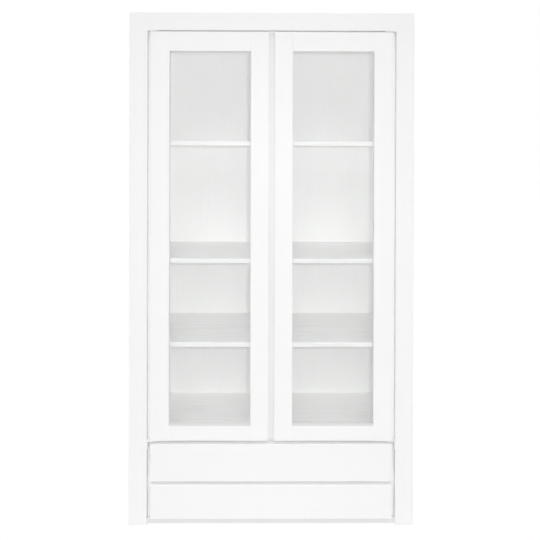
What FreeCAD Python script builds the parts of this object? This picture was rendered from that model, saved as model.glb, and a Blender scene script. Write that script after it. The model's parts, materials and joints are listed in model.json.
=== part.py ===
"""Bookcase with two framed glass doors over two full-width drawers.

The cabinet stands on Z = 0 with its front towards -Y. Every piece is drawn in place in that one frame,
left-hand pieces first; a right-hand piece is the same outline with X negated. Lengths are in millimetres.
"""
import FreeCAD, Part
import math
import os
import re
import Sketcher

# Driving sizes. Each is a length that a maker could change by itself.
SIZES = {
    # Whole cabinet
    "overall_width": 1110,
    "overall_depth": 430,
    "overall_height": 2000,
    "edge_ease": 1.5,            # chamfer on the edges a hand meets
    # Front frame: two posts and a top rail, mitred at the corners
    "frame_width": 70,           # face width of a post
    "rail_height": 68,           # face height of the top rail
    "frame_thick": 25,
    # Carcase boards
    "skin_thick": 18,            # outer and inner board of each hollow side
    "board_thick": 18,           # top, ceiling, deck and bottom board
    "partition_thick": 28,
    "wall_lead": 13,             # the inner boards stand this far in from the posts, behind the side gaps
    "rear_post_depth": 40,
    "ceiling_drop": 5,           # underside of the ceiling below the top rail
    "bottom_rise": 4,            # underside of the bottom board above the floor
    "bottom_setback": 9,
    "front_clearance": 2.5,      # between the closed doors and what is behind them
    "back_thick": 8,
    "back_recess": 12,           # the cabinet's rear edges stand this far behind the back panels
    "back_lap": 10,              # the back panels lap this far over each side
    "glide_height": 2,
    "glide_radius": 9,
    # Shelves and their pins
    "lower_shelf_top": 702,
    "middle_shelf_top": 1035,
    "upper_shelf_top": 1501,
    "shelf_thick": 19,
    "shelf_setback": 40,
    "shelf_play": 1,
    "pin_inset": 45,             # pin centre from the shelf's front and back edges
    "pin_shank_radius": 2.5,
    "pin_nose_radius": 3.5,
    "pin_nose_length": 9,
    "pin_depth": 10,
    # Doors
    "door_thick": 25,
    "door_side_gap": 11,
    "door_centre_gap": 22,
    "door_top_gap": 6,
    "door_foot_gap": 1.5,        # between the deck and the door's bottom edge
    "stile_width": 75,
    "meeting_stile_width": 71,
    "door_top_rail": 75,
    "door_bottom_rail": 58,
    "tenon_length": 40,
    "tenon_thick": 8,
    "tenon_inset": 5,            # tenon's front cheek behind the door's face
    "tenon_shoulder": 12,
    "glue_gap": 1,
    "glass_setback": 17,
    "glass_thick": 4,
    "glass_play": 1.5,
    "rebate_width": 10,
    # Door pivots and catches
    "pivot_inset": 12,           # pivot axis in from the door's outer edge
    "pivot_pin_radius": 3,
    "pivot_pin_length": 12,
    "running_clearance": 0.05,
    "bush_radius": 5,
    "bush_length": 15,
    "pivot_plate_thick": 3,
    "pivot_plate_width": 20,
    "pivot_plate_reach": 20,     # plate beyond the pivot axis
    "pivot_leg_length": 30,
    "magnet_side_gap": 2.5,      # from the partition to the magnet
    "magnet_length": 40,
    "magnet_depth": 20,
    "magnet_height": 14,
    "magnet_gap": 0.3,
    "strike_thick": 1,
    # Drawers
    "drawer_side_gap": 13,       # from the post to a drawer front
    "drawer_gap": 12.5,          # above each drawer front
    "drawer_foot_gap": 4,
    "lower_front_height": 133,
    "upper_front_height": 147,
    "drawer_front_thick": 20,
    "drawer_side_thick": 15,
    "drawer_back_thick": 15,
    "drawer_panel_thick": 6,
    "drawer_panel_inset": 10,    # underside of the bottom panel above the lower edge of the sides
    "groove_depth": 6,
    "lap_depth": 8,              # the sides are let this far into the front
    "box_lift": 12,              # lower edge of the sides above the lower edge of the front
    "box_height": 110,
    "drawer_rear_gap": 30,
    # Telescopic runners
    "runner_width": 13,
    "runner_height": 45,
    "runner_start": 2,           # behind the inner boards' front edges
    "runner_rear_gap": 30.5,
    "steel_thick": 1.2,
    "member_clearance": 1,       # sideways, from one member to the next
    "race_height": 2.6,          # room for the balls between two members
    "race_play": 0.2,
    "lip_clearance": 0.6,        # from a flange's lip to the member inside it
    # Dowels of the carcase
    "dowel_radius": 4,
    "dowel_length": 30,
    "dowel_depth": 12,           # in the face of a board; the rest is in the other one's end
    "dowel_margin": 50,
    "frame_dowel_margin": 150,
    # Back panel screws
    "screw_radius": 1.75,
    "screw_head_radius": 4,
    "screw_head_height": 2.2,
    "screw_length": 22,
    "screw_margin": 140,
}

# Places worked out from the driving sizes.
PLACES = {
    "half_width": "overall_width / 2",
    "opening_half": "half_width - frame_width",
    "wall_x": "opening_half - wall_lead",
    "front_y": "-overall_depth / 2",
    "rear_y": "overall_depth / 2",
    "frame_back_y": "front_y + frame_thick",
    "back_rear_y": "rear_y - back_recess",
    "back_face_y": "back_rear_y - back_thick",
    "inner_front_y": "front_y + max(door_thick; drawer_front_thick) + front_clearance",
    "inner_face_x": "wall_x + skin_thick",
    "outer_face_x": "half_width - skin_thick",
    "top_underside_z": "overall_height - board_thick",
    "rail_bottom_z": "overall_height - rail_height",
    "ceiling_z": "rail_bottom_z - ceiling_drop",
    "ceiling_top_z": "ceiling_z + board_thick",
    "bottom_top_z": "bottom_rise + board_thick",
    "partition_half": "partition_thick / 2",
    "lower_front_z": "bottom_top_z + drawer_foot_gap",
    "upper_front_z": "lower_front_z + lower_front_height + drawer_gap",
    "door_z": "upper_front_z + upper_front_height + drawer_gap",
    "door_top_z": "rail_bottom_z - door_top_gap",
    "deck_top_z": "door_z - door_foot_gap",
    "deck_z": "deck_top_z - board_thick",
    "door_back_y": "front_y + door_thick",
    "door_outer_x": "opening_half - door_side_gap",
    "door_inner_x": "door_centre_gap / 2",
    "sight_outer_x": "door_outer_x - stile_width",
    "sight_inner_x": "door_inner_x + meeting_stile_width",
    "sight_bottom_z": "door_z + door_bottom_rail",
    "sight_top_z": "door_top_z - door_top_rail",
    "rebate_outer_x": "sight_outer_x + rebate_width",
    "rebate_inner_x": "sight_inner_x - rebate_width",
    "rebate_bottom_z": "sight_bottom_z - rebate_width",
    "rebate_top_z": "sight_top_z + rebate_width",
    "glass_y": "front_y + glass_setback",
    "bead_y": "glass_y + glass_thick",
    "tenon_y": "front_y + tenon_inset",
    "bottom_tenon_z": "door_z + tenon_shoulder",
    "bottom_tenon_top_z": "rebate_bottom_z - glue_gap",
    "top_tenon_z": "rebate_top_z + glue_gap",
    "top_tenon_top_z": "door_top_z - tenon_shoulder",
    "pivot_x": "door_outer_x - pivot_inset",
    "pivot_y": "front_y + door_thick / 2",
    "pivot_bore_radius": "pivot_pin_radius + running_clearance",
    "pivot_leaf_top_z": "door_z - door_foot_gap",
    "pivot_leaf_z": "pivot_leaf_top_z - pivot_plate_thick",
    "pivot_cap_z": "rail_bottom_z - pivot_plate_thick",
    "magnet_x": "partition_half + magnet_side_gap",
    "magnet_y": "door_back_y + strike_thick + magnet_gap",
    "shelf_front_y": "front_y + shelf_setback",
    "shelf_rear_y": "back_face_y - shelf_play",
    "front_pin_y": "shelf_front_y + pin_inset",
    "rear_pin_y": "shelf_rear_y - pin_inset",
    "drawer_back_of_front_y": "front_y + drawer_front_thick",
    "drawer_rear_y": "back_face_y - drawer_rear_gap",
    "drawer_front_x": "opening_half - drawer_side_gap",
    "box_outer_x": "wall_x - runner_width",
    "box_inner_x": "box_outer_x - drawer_side_thick",
    "front_dowel_y": "frame_back_y + dowel_margin",
    "rear_dowel_y": "back_face_y - dowel_margin",
    "runner_y": "inner_front_y + runner_start",
    "runner_rear_y": "back_face_y - runner_rear_gap",
    "race_step": "steel_thick + race_height",
    "lip_height": "race_step - lip_clearance",
    "cabinet_member_x": "wall_x - runner_width + 3 * member_clearance",
    "middle_web_x": "wall_x - 2 * steel_thick",
    "middle_member_x": "wall_x - runner_width + 2 * member_clearance",
    "drawer_member_x": "middle_web_x - steel_thick - member_clearance",
}

SIDES = ("left", "right")
SHELF_LEVELS = ("lower", "middle", "upper")
DRAWERS = ("lower", "upper")
BOARD_DOWELS = 3             # in each end of a lying board
PARTITION_DOWELS = 2
POST_DOWELS = 4
RAIL_DOWELS = 3
SIDE_SCREWS = 6              # in each outer edge of the back
CENTRE_SCREWS = 5
FASTENER_FLATS = 8           # small fasteners are drawn with flats, and so are the holes they fit
# Upright rows of screws in the left-hand back panel: X, lowest Z, highest Z and how many.
SCREW_ROWS = {
    "side": ("-wall_x - back_lap / 2", "bottom_rise + screw_margin", "ceiling_z - screw_margin", SIDE_SCREWS),
    "centre": ("-partition_half / 2", "deck_top_z + screw_margin", "ceiling_z - screw_margin", CENTRE_SCREWS),
}

# Plane that a sketch lies on and the sense of its normal, for an extrusion along each axis.
PLANES = {"x": ("YZ_Plane", 1), "y": ("XZ_Plane", -1), "z": ("XY_Plane", 1)}
SMALL = 1e-6

doc = FreeCAD.newDocument("Bookcase")
sheet = doc.addObject("Spreadsheet::Sheet", "Sizes")
parts = []


def fill_sheet():
    """Writes every driving size as a number, then every place as a formula."""
    cells = list(SIZES.items()) + [(name, f"={formula}") for name, formula in PLACES.items()]
    for row, (name, content) in enumerate(cells, start=1):
        sheet.set(f"A{row}", name)
        sheet.set(f"B{row}", str(content))
        sheet.setAlias(f"B{row}", name)
    doc.recompute()


def sheet_reference(word):
    """A matched word, with the sheet's name in front if it is one of the sheet's names."""
    name = word.group()
    return f"Sizes.{name}" if name in SIZES or name in PLACES else name


def tied(formula):
    """The formula with each name of the sheet turned into a reference to its cell."""
    return re.sub(r"[a-z][a-z0-9_]*", sheet_reference, formula)


def value(formula):
    """The number that a formula gives now."""
    return float(sheet.evalExpression(tied(formula)))


def rectangle(low, high):
    """Outline of a rectangle between two corners, each a pair of formulas."""
    return [low, (high[0], low[1]), high, (low[0], high[1])]


def with_flats(u, v, radius):
    """Outline of a pin, a screw or its hole: a regular polygon whose flats touch the circle."""
    reach = 1 / math.cos(math.pi / FASTENER_FLATS)
    turns = [2 * math.pi * (corner + 0.5) / FASTENER_FLATS for corner in range(FASTENER_FLATS)]
    return [(f"{u} + {reach * math.cos(turn):.6f} * {radius}",
             f"{v} + {reach * math.sin(turn):.6f} * {radius}") for turn in turns]


def negated(formula):
    """The formula with its sign turned."""
    return f"-({formula})"


def on_side(side, outline):
    """A left-hand outline whose first coordinate is X, turned over for the right-hand side."""
    return outline if side == "left" else [(negated(u), *rest) for u, *rest in outline]


def span(side, low, high):
    """Low and high X of a left-hand span, turned over for the right-hand side."""
    return (low, high) if side == "left" else (negated(high), negated(low))


def body(name):
    """A body in which a solid is drawn."""
    new = doc.addObject("PartDesign::Body", name)
    new.Label = name
    return new


def sub_part(name):
    """A body that is a piece of the cabinet and gets a file of its own."""
    new = body(name)
    parts.append(new)
    return new


def draw(target, axis, start, outlines, circles):
    """A sketch square to the axis at the place start, fully dimensioned from the cabinet's origin."""
    role, sense = PLANES[axis]
    sketch = target.newObject("Sketcher::SketchObject", f"{target.Name}_outline")
    plane = [feature for feature in target.Origin.OriginFeatures if feature.Role == role][0]
    sketch.AttachmentSupport = [(plane, "")]
    sketch.MapMode = "FlatFace"
    sketch.setExpression("AttachmentOffset.Base.z", tied(start if sense > 0 else negated(start)))
    geometry = []
    joints = []
    sized = []                   # kind of dimension, what it measures, formula
    for outline in outlines:
        corners = [FreeCAD.Vector(value(u), value(v), 0) for u, v in outline]
        first = len(geometry)
        for corner, (u, v) in enumerate(outline):
            line = first + corner
            following = (corner + 1) % len(corners)
            geometry.append(Part.LineSegment(corners[corner], corners[following]))
            joints.append(Sketcher.Constraint("Coincident", line, 2, first + following, 1))
            sized.append(("DistanceX", (-1, 1, line, 1), u))
            sized.append(("DistanceY", (-1, 1, line, 1), v))
    for u, v, radius in circles:
        centre = FreeCAD.Vector(value(u), value(v), 0)
        circle = len(geometry)
        geometry.append(Part.Circle(centre, FreeCAD.Vector(0, 0, 1), value(radius)))
        sized.append(("DistanceX", (-1, 1, circle, 3), u))
        sized.append(("DistanceY", (-1, 1, circle, 3), v))
        sized.append(("Radius", (circle,), radius))
    sketch.addGeometry(geometry, False)
    dimensions = [Sketcher.Constraint(kind, *measured, value(formula)) for kind, measured, formula in sized]
    sketch.addConstraint(joints + dimensions)
    for index, (_, _, formula) in enumerate(sized, start=len(joints)):
        sketch.setExpression(f"Constraints[{index}]", tied(formula))
    return sketch


def pad(target, axis, start, end, outlines=(), circles=()):
    """Adds the outlines, extruded along the axis from start to end."""
    feature = target.newObject("PartDesign::Pad", f"{target.Name}_pad")
    feature.Profile = draw(target, axis, start, outlines, circles)
    feature.setExpression("Length", tied(f"({end}) - ({start})"))
    feature.Reversed = PLANES[axis][1] < 0
    return feature


def pocket(target, axis, start, end, outlines=(), circles=()):
    """Cuts the outlines away along the axis from start to end."""
    feature = target.newObject("PartDesign::Pocket", f"{target.Name}_pocket")
    feature.Profile = draw(target, axis, start, outlines, circles)
    feature.setExpression("Length", tied(f"({end}) - ({start})"))
    feature.Reversed = PLANES[axis][1] > 0
    return feature


def repeat(target, features, axis, reach, count):
    """Repeats features of a body in a row along an axis, with the last copy that far from the first."""
    row = target.newObject("PartDesign::LinearPattern", f"{target.Name}_row")
    row.Originals = features
    role = f"{axis.upper()}_Axis"
    line = [feature for feature in target.Origin.OriginFeatures if feature.Role == role][0]
    row.Direction = (line, [""])
    row.setExpression("Length", tied(reach))
    row.Occurrences = count
    target.Tip = row
    return row


def ease(target, axis, **at):
    """Chamfers the straight edges that run along the axis at the given places, such as y="front_y"."""
    doc.recompute()
    wanted = {name: value(formula) for name, formula in at.items()}
    picked = []
    for number, edge in enumerate(target.Shape.Edges, start=1):
        ends = [vertex.Point for vertex in edge.Vertexes]
        if len(ends) != 2 or edge.Curve.TypeId != "Part::GeomLine":
            continue
        run = ends[1] - ends[0]
        along = abs(getattr(run, axis)) > run.Length * 0.999
        if along and all(abs(getattr(ends[0], name) - place) < 1e-4 for name, place in wanted.items()):
            picked.append(f"Edge{number}")
    base = target.Tip
    feature = target.newObject("PartDesign::Chamfer", f"{target.Name}_eased")
    feature.Base = (base, picked)
    feature.setExpression("Size", tied("edge_ease"))
    return feature


def block(name, low, high):
    """A plain box between two corners, for members of a group that touch each other."""
    box = doc.addObject("Part::Box", name)
    for prop, axis, low_place, high_place in zip(("Length", "Width", "Height"), "xyz", low, high):
        box.setExpression(prop, tied(f"({high_place}) - ({low_place})"))
        box.setExpression(f"Placement.Base.{axis}", tied(low_place))
    return box


def group(name, members):
    """One sub-part made of several separate solids."""
    new = doc.addObject("Part::Compound", name)
    new.Label = name
    new.Links = members
    parts.append(new)
    return new


def board(name, low, high):
    """A flat board between two corners."""
    new = sub_part(name)
    pad(new, "z", low[2], high[2], [rectangle(low[:2], high[:2])])
    return new


# ---------------------------------------------------------------- carcase

def front_frame():
    """Two posts and a top rail, mitred where they meet."""
    for side in SIDES:
        post = sub_part(f"{side}_front_post")
        outline = [("-half_width", "glide_height"), ("-opening_half", "glide_height"),
                   ("-opening_half", "rail_bottom_z"), ("-half_width", "overall_height")]
        pad(post, "y", "front_y", "frame_back_y", [on_side(side, outline)])
        ease(post, "z", y="front_y")
    rail = sub_part("top_front_rail")
    outline = [("-opening_half", "rail_bottom_z"), ("opening_half", "rail_bottom_z"),
               ("half_width", "overall_height"), ("-half_width", "overall_height")]
    pad(rail, "y", "front_y", "frame_back_y", [outline])
    ease(rail, "x", y="front_y")


def hollow_sides():
    """Outer board, inner board and rear post of each side.

    The inner board is rebated for the back panel. Its front edge closes the gap beside the doors and drawers.
    """
    for side in SIDES:
        outer = sub_part(f"{side}_outer_side")
        outline = rectangle(("-half_width", "frame_back_y"), ("-outer_face_x", "rear_y"))
        pad(outer, "z", "glide_height", "top_underside_z", [on_side(side, outline)])
        ease(outer, "z", x="-half_width" if side == "left" else "half_width", y="rear_y")

        inner = sub_part(f"{side}_inner_side")
        outline = [("-inner_face_x", "frame_back_y"), ("-opening_half", "frame_back_y"),
                   ("-opening_half", "inner_front_y"), ("-wall_x", "inner_front_y"),
                   ("-wall_x", "back_face_y"), ("-wall_x - back_lap", "back_face_y"),
                   ("-wall_x - back_lap", "rear_y"), ("-inner_face_x", "rear_y")]
        pad(inner, "z", "glide_height", "top_underside_z", [on_side(side, outline)])
        bore_for_pins(inner, *span(side, "-wall_x - pin_depth", "-wall_x"))
        bore_for_screws(inner, side, "side")

        post = sub_part(f"{side}_rear_post")
        outline = rectangle(("-outer_face_x", "rear_y - rear_post_depth"), ("-inner_face_x", "rear_y"))
        pad(post, "z", "glide_height", "top_underside_z", [on_side(side, outline)])


def horizontal_boards():
    """Top, ceiling, deck and bottom, with the rear rail between top and ceiling."""
    top = board("top_board", ("-half_width", "frame_back_y", "top_underside_z"),
                ("half_width", "rear_y", "overall_height"))
    for edge_x in ("-half_width", "half_width"):
        ease(top, "y", x=edge_x, z="overall_height")
    board("ceiling_board", ("-wall_x", "frame_back_y", "ceiling_z"),
          ("wall_x", "back_face_y", "ceiling_top_z"))
    board("top_rear_rail", ("-wall_x - back_lap", "back_face_y", "ceiling_top_z"),
          ("wall_x + back_lap", "rear_y", "top_underside_z"))
    deck = board("deck_board", ("-wall_x", "inner_front_y", "deck_z"),
                 ("wall_x", "back_face_y", "deck_top_z"))
    ease(deck, "x", y="inner_front_y")
    bottom = sub_part("bottom_board")
    outline = [("-opening_half", "front_y + bottom_setback"), ("opening_half", "front_y + bottom_setback"),
               ("opening_half", "inner_front_y"), ("wall_x", "inner_front_y"), ("wall_x", "back_face_y"),
               ("-wall_x", "back_face_y"), ("-wall_x", "inner_front_y"), ("-opening_half", "inner_front_y")]
    pad(bottom, "z", "bottom_rise", "bottom_top_z", [outline])
    ease(bottom, "x", y="front_y + bottom_setback")


def partition():
    """Upright board that parts the glazed space in two and closes the gap between the doors."""
    centre = board("centre_partition", ("-partition_half", "inner_front_y", "deck_top_z"),
                   ("partition_half", "back_face_y", "ceiling_z"))
    ease(centre, "z", y="inner_front_y")
    bore_for_pins(centre, "-partition_half", "-partition_half + pin_depth")
    bore_for_pins(centre, "partition_half - pin_depth", "partition_half")
    for side in SIDES:
        bore_for_screws(centre, side, "centre")


def back_panels():
    """Two panels that meet behind the middle of the partition, bored for their screws."""
    for side in SIDES:
        panel = sub_part(f"{side}_back_panel")
        outline = rectangle(("-wall_x - back_lap", "bottom_rise"), ("0", "ceiling_top_z"))
        pad(panel, "y", "back_face_y", "back_rear_y", [on_side(side, outline)])
        bore_for_screws(panel, side, "side")
        bore_for_screws(panel, side, "centre")


def bore_for_screws(target, side, row):
    """Bores one row of screw holes, as far as the target lies in the screws' way."""
    x, low, high, count = SCREW_ROWS[row]
    outline = on_side(side, with_flats(x, low, "screw_radius"))
    bore = pocket(target, "y", "back_rear_y - screw_length", "rear_y", [outline])
    repeat(target, [bore], "z", f"{high} - ({low})", count)


def back_screws():
    """Pan-headed screws that hold both back panels to the sides and the partition."""
    rows = []
    for side in SIDES:
        for name, (x, low, high, count) in SCREW_ROWS.items():
            row = body(f"{side}_back_{name}_screws")
            shank = pad(row, "y", "back_rear_y - screw_length", "back_rear_y + screw_head_height / 2",
                        [on_side(side, with_flats(x, low, "screw_radius"))])
            head = pad(row, "y", "back_rear_y", "back_rear_y + screw_head_height",
                       [on_side(side, with_flats(x, low, "screw_head_radius"))])
            repeat(row, [shank, head], "z", f"{high} - ({low})", count)
            rows.append(row)
    group("back_panel_screws", rows)


def dowel_row(hosts, axis, centre, ends, row_axis, reach, count):
    """A row of dowels across the joint between two pieces, both bored for them."""
    outline = with_flats(*centre, "dowel_radius")
    row = body(f"{'_to_'.join(hosts)}_dowels")
    first = pad(row, axis, *ends, [outline])
    repeat(row, [first], row_axis, reach, count)
    for name in hosts:
        host = doc.getObject(name)
        bore = pocket(host, axis, *ends, [outline])
        repeat(host, [bore], row_axis, reach, count)
    return row


def carcase_dowels():
    """Dowels between the lying boards, the sides, the partition and the front frame."""
    depth_reach = "rear_dowel_y - front_dowel_y"
    upward = ("top_underside_z - dowel_length + dowel_depth", "top_underside_z + dowel_depth")
    backward = ("frame_back_y - dowel_depth", "frame_back_y + dowel_length - dowel_depth")
    lying = {"ceiling_board": "ceiling_z", "deck_board": "deck_z", "bottom_board": "bottom_rise"}
    rows = []
    for side in SIDES:
        inward = span(side, "-wall_x - dowel_depth", "-wall_x + dowel_length - dowel_depth")
        for name, underside_z in lying.items():
            centre = ("front_dowel_y", f"{underside_z} + board_thick / 2")
            rows.append(dowel_row((f"{side}_inner_side", name), "x", centre, inward,
                                  "y", depth_reach, BOARD_DOWELS))
        side_x = "-half_width + skin_thick / 2" if side == "left" else "half_width - skin_thick / 2"
        rows.append(dowel_row((f"{side}_outer_side", "top_board"), "z", (side_x, "front_dowel_y"), upward,
                              "y", depth_reach, BOARD_DOWELS))
        rows.append(dowel_row((f"{side}_front_post", f"{side}_outer_side"), "y",
                              (side_x, "frame_dowel_margin"), backward,
                              "z", "overall_height - 2 * frame_dowel_margin", POST_DOWELS))
    rows.append(dowel_row(("deck_board", "centre_partition"), "z", ("0", "front_dowel_y"),
                          ("deck_top_z - dowel_depth", "deck_top_z + dowel_length - dowel_depth"),
                          "y", depth_reach, PARTITION_DOWELS))
    rows.append(dowel_row(("ceiling_board", "centre_partition"), "z", ("0", "front_dowel_y"),
                          ("ceiling_z - dowel_length + dowel_depth", "ceiling_z + dowel_depth"),
                          "y", depth_reach, PARTITION_DOWELS))
    rows.append(dowel_row(("top_front_rail", "top_board"), "y",
                          ("-half_width + frame_dowel_margin", "top_underside_z + board_thick / 2"), backward,
                          "x", "overall_width - 2 * frame_dowel_margin", RAIL_DOWELS))
    group("carcase_dowels", rows)


def floor_glides():
    """A round glide under each front and rear post."""
    glides = sub_part("floor_glides")
    centre_x = "half_width - frame_width / 2"
    feet = [(x, y, "glide_radius") for x in (negated(centre_x), centre_x)
            for y in ("front_y + frame_thick / 2", "rear_y - rear_post_depth / 2")]
    pad(glides, "z", "0", "glide_height", circles=feet)


# ---------------------------------------------------------------- shelves

def pin_z(level):
    """Height of the middle of the pins under a shelf."""
    return f"{level}_shelf_top - shelf_thick - pin_nose_radius"


def pin_outlines(level, radius):
    """The front and the rear pin of one wall under a shelf."""
    return [with_flats(y, pin_z(level), radius) for y in ("front_pin_y", "rear_pin_y")]


def bore_for_pins(target, low_x, high_x):
    """Bores every shelf's pin holes in one face of a wall."""
    for level in SHELF_LEVELS:
        pocket(target, "x", low_x, high_x, pin_outlines(level, "pin_shank_radius"))


def shelves():
    """Three loose shelves in each half of the glazed space."""
    for side in SIDES:
        for level in SHELF_LEVELS:
            shelf = sub_part(f"{side}_{level}_shelf")
            top = f"{level}_shelf_top"
            outline = rectangle(("-wall_x + shelf_play", "shelf_front_y"),
                                ("-partition_half - shelf_play", "shelf_rear_y"))
            pad(shelf, "z", f"{top} - shelf_thick", top, [on_side(side, outline)])
            ease(shelf, "x", y="shelf_front_y")


def shelf_pins():
    """Stepped pins, four under each shelf: a shank in the wall and a thicker nose under the shelf."""
    walls = {
        "side": (("-wall_x", "-wall_x + pin_nose_length"),
                 ("-wall_x - pin_depth", "-wall_x + pin_nose_length")),
        "middle": (("-partition_half - pin_nose_length", "-partition_half"),
                   ("-partition_half - pin_nose_length", "-partition_half + pin_depth")),
    }
    pairs = []
    for side in SIDES:
        for level in SHELF_LEVELS:
            for wall, (nose, whole) in walls.items():
                pair = body(f"{side}_{level}_{wall}_pins")
                pad(pair, "x", *span(side, *nose), pin_outlines(level, "pin_nose_radius"))
                pad(pair, "x", *span(side, *whole), pin_outlines(level, "pin_shank_radius"))
                pairs.append(pair)
    group("shelf_pins", pairs)


# ---------------------------------------------------------------- doors

def tenon_outlines():
    """Sections of the bottom and top rails' tenons, seen along X."""
    tenon_back = "tenon_y + tenon_thick"
    return (rectangle(("tenon_y", "bottom_tenon_z"), (tenon_back, "bottom_tenon_top_z")),
            rectangle(("tenon_y", "top_tenon_z"), (tenon_back, "top_tenon_top_z")))


def door_stile(side, name, low_x, high_x, rebate_low_x, rebate_high_x, mortise_low_x, mortise_high_x):
    """Upright of a door frame, with a stopped rebate for the glass and a mortise for each rail."""
    stile = sub_part(f"{side}_door_{name}")
    outline = rectangle((low_x, "front_y"), (high_x, "door_back_y"))
    pad(stile, "z", "door_z", "door_top_z", [on_side(side, outline)])
    rebate = rectangle((rebate_low_x, "glass_y"), (rebate_high_x, "door_back_y"))
    pocket(stile, "z", "rebate_bottom_z", "rebate_top_z", [on_side(side, rebate)])
    pocket(stile, "x", *span(side, mortise_low_x, mortise_high_x), tenon_outlines())
    ease(stile, "z", y="front_y")
    return stile


def door_frame(side):
    """Two stiles, with holes for the pivot bushes in the outer one, and two rails tenoned into them."""
    hinge_stile = door_stile(side, "hinge_stile", "-door_outer_x", "-sight_outer_x",
                             "-rebate_outer_x", "-sight_outer_x",
                             "-sight_outer_x - tenon_length - glue_gap", "-sight_outer_x")
    bush_hole = on_side(side, [("-pivot_x", "pivot_y", "bush_radius")])
    pocket(hinge_stile, "z", "door_z", "door_z + bush_length", circles=bush_hole)
    pocket(hinge_stile, "z", "door_top_z - bush_length", "door_top_z", circles=bush_hole)
    door_stile(side, "meeting_stile", "-sight_inner_x", "-door_inner_x",
               "-sight_inner_x", "-rebate_inner_x",
               "-sight_inner_x", "-sight_inner_x + tenon_length + glue_gap")

    bottom_section = [("front_y", "door_z"), ("door_back_y", "door_z"), ("door_back_y", "rebate_bottom_z"),
                      ("glass_y", "rebate_bottom_z"), ("glass_y", "sight_bottom_z"),
                      ("front_y", "sight_bottom_z")]
    top_section = [("front_y", "sight_top_z"), ("glass_y", "sight_top_z"), ("glass_y", "rebate_top_z"),
                   ("door_back_y", "rebate_top_z"), ("door_back_y", "door_top_z"), ("front_y", "door_top_z")]
    sections = zip(("bottom_rail", "top_rail"), (bottom_section, top_section), tenon_outlines())
    for name, section, tenon in sections:
        rail = sub_part(f"{side}_door_{name}")
        pad(rail, "x", *span(side, "-sight_outer_x", "-sight_inner_x"), [section])
        tenon_ends = span(side, "-sight_outer_x - tenon_length", "-sight_inner_x + tenon_length")
        pad(rail, "x", *tenon_ends, [tenon])
        ease(rail, "x", y="front_y")


def door_glazing(side):
    """The pane and the four beads that hold it in the rebate."""
    glass = sub_part(f"{side}_door_glass")
    outline = rectangle(("-rebate_outer_x + glass_play", "rebate_bottom_z + glass_play"),
                        ("-rebate_inner_x - glass_play", "rebate_top_z - glass_play"))
    pad(glass, "y", "glass_y", "bead_y", [on_side(side, outline)])
    bead_spans = {
        "outer": ("-rebate_outer_x", "-sight_outer_x", "rebate_bottom_z", "rebate_top_z"),
        "inner": ("-sight_inner_x", "-rebate_inner_x", "rebate_bottom_z", "rebate_top_z"),
        "bottom": ("-sight_outer_x", "-sight_inner_x", "rebate_bottom_z", "sight_bottom_z"),
        "top": ("-sight_outer_x", "-sight_inner_x", "sight_top_z", "rebate_top_z"),
    }
    beads = []
    for name, (low_x, high_x, low_z, high_z) in bead_spans.items():
        low_x, high_x = span(side, low_x, high_x)
        beads.append(block(f"{side}_{name}_bead", (low_x, "bead_y", low_z),
                           (high_x, "door_back_y", high_z)))
    group(f"{side}_door_beads", beads)


def door_fittings(side):
    """Bushes that turn on the pivot pins, and the steel plate that the magnet holds."""
    bushes = sub_part(f"{side}_door_pivot_bushes")
    wall = on_side(side, [("-pivot_x", "pivot_y", "bush_radius")])
    bore = on_side(side, [("-pivot_x", "pivot_y", "pivot_bore_radius")])
    pad(bushes, "z", "door_z", "door_z + bush_length", circles=wall + bore)
    pad(bushes, "z", "door_top_z - bush_length", "door_top_z", circles=wall + bore)
    strike = sub_part(f"{side}_door_strike_plate")
    outline = rectangle(("-magnet_x - magnet_length", "ceiling_z - magnet_height"),
                        ("-magnet_x", "door_top_z"))
    pad(strike, "y", "door_back_y", "door_back_y + strike_thick", [on_side(side, outline)])


def door_pivots():
    """Fixed pivots: an angle bracket with a pin under each door and a plate with a pin over it."""
    pivots = sub_part("door_pivots")
    low_y = "pivot_y - pivot_plate_width / 2"
    high_y = "pivot_y + pivot_plate_width / 2"
    tip_x = "-pivot_x + pivot_plate_reach / 2"
    leg_z = "pivot_leaf_z - pivot_leg_length"
    for side in SIDES:
        angle = [("-opening_half", leg_z), ("-opening_half + pivot_plate_thick", leg_z),
                 ("-opening_half + pivot_plate_thick", "pivot_leaf_z"), (tip_x, "pivot_leaf_z"),
                 (tip_x, "pivot_leaf_top_z"), ("-opening_half", "pivot_leaf_top_z")]
        cap = rectangle(("-opening_half + running_clearance", "pivot_cap_z"),
                        ("-pivot_x + pivot_plate_reach", "rail_bottom_z"))
        pad(pivots, "y", low_y, high_y, [on_side(side, angle), on_side(side, cap)])
        pin = on_side(side, [("-pivot_x", "pivot_y", "pivot_pin_radius")])
        collar = on_side(side, [("-pivot_x", "pivot_y", "bush_radius")])
        pad(pivots, "z", "pivot_leaf_top_z", "door_z - running_clearance", circles=collar)
        pad(pivots, "z", "pivot_leaf_z", "door_z + pivot_pin_length", circles=pin)
        pad(pivots, "z", "door_top_z + running_clearance", "pivot_cap_z", circles=collar)
        pad(pivots, "z", "door_top_z - pivot_pin_length", "rail_bottom_z", circles=pin)


def door_magnets():
    """A magnetic catch under the ceiling behind each door's meeting stile."""
    magnets = sub_part("door_magnets")
    for side in SIDES:
        outline = rectangle(("-magnet_x - magnet_length", "magnet_y"),
                            ("-magnet_x", "magnet_y + magnet_depth"))
        pad(magnets, "z", "ceiling_z - magnet_height", "ceiling_z", [on_side(side, outline)])


# ---------------------------------------------------------------- drawers and runners

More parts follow.
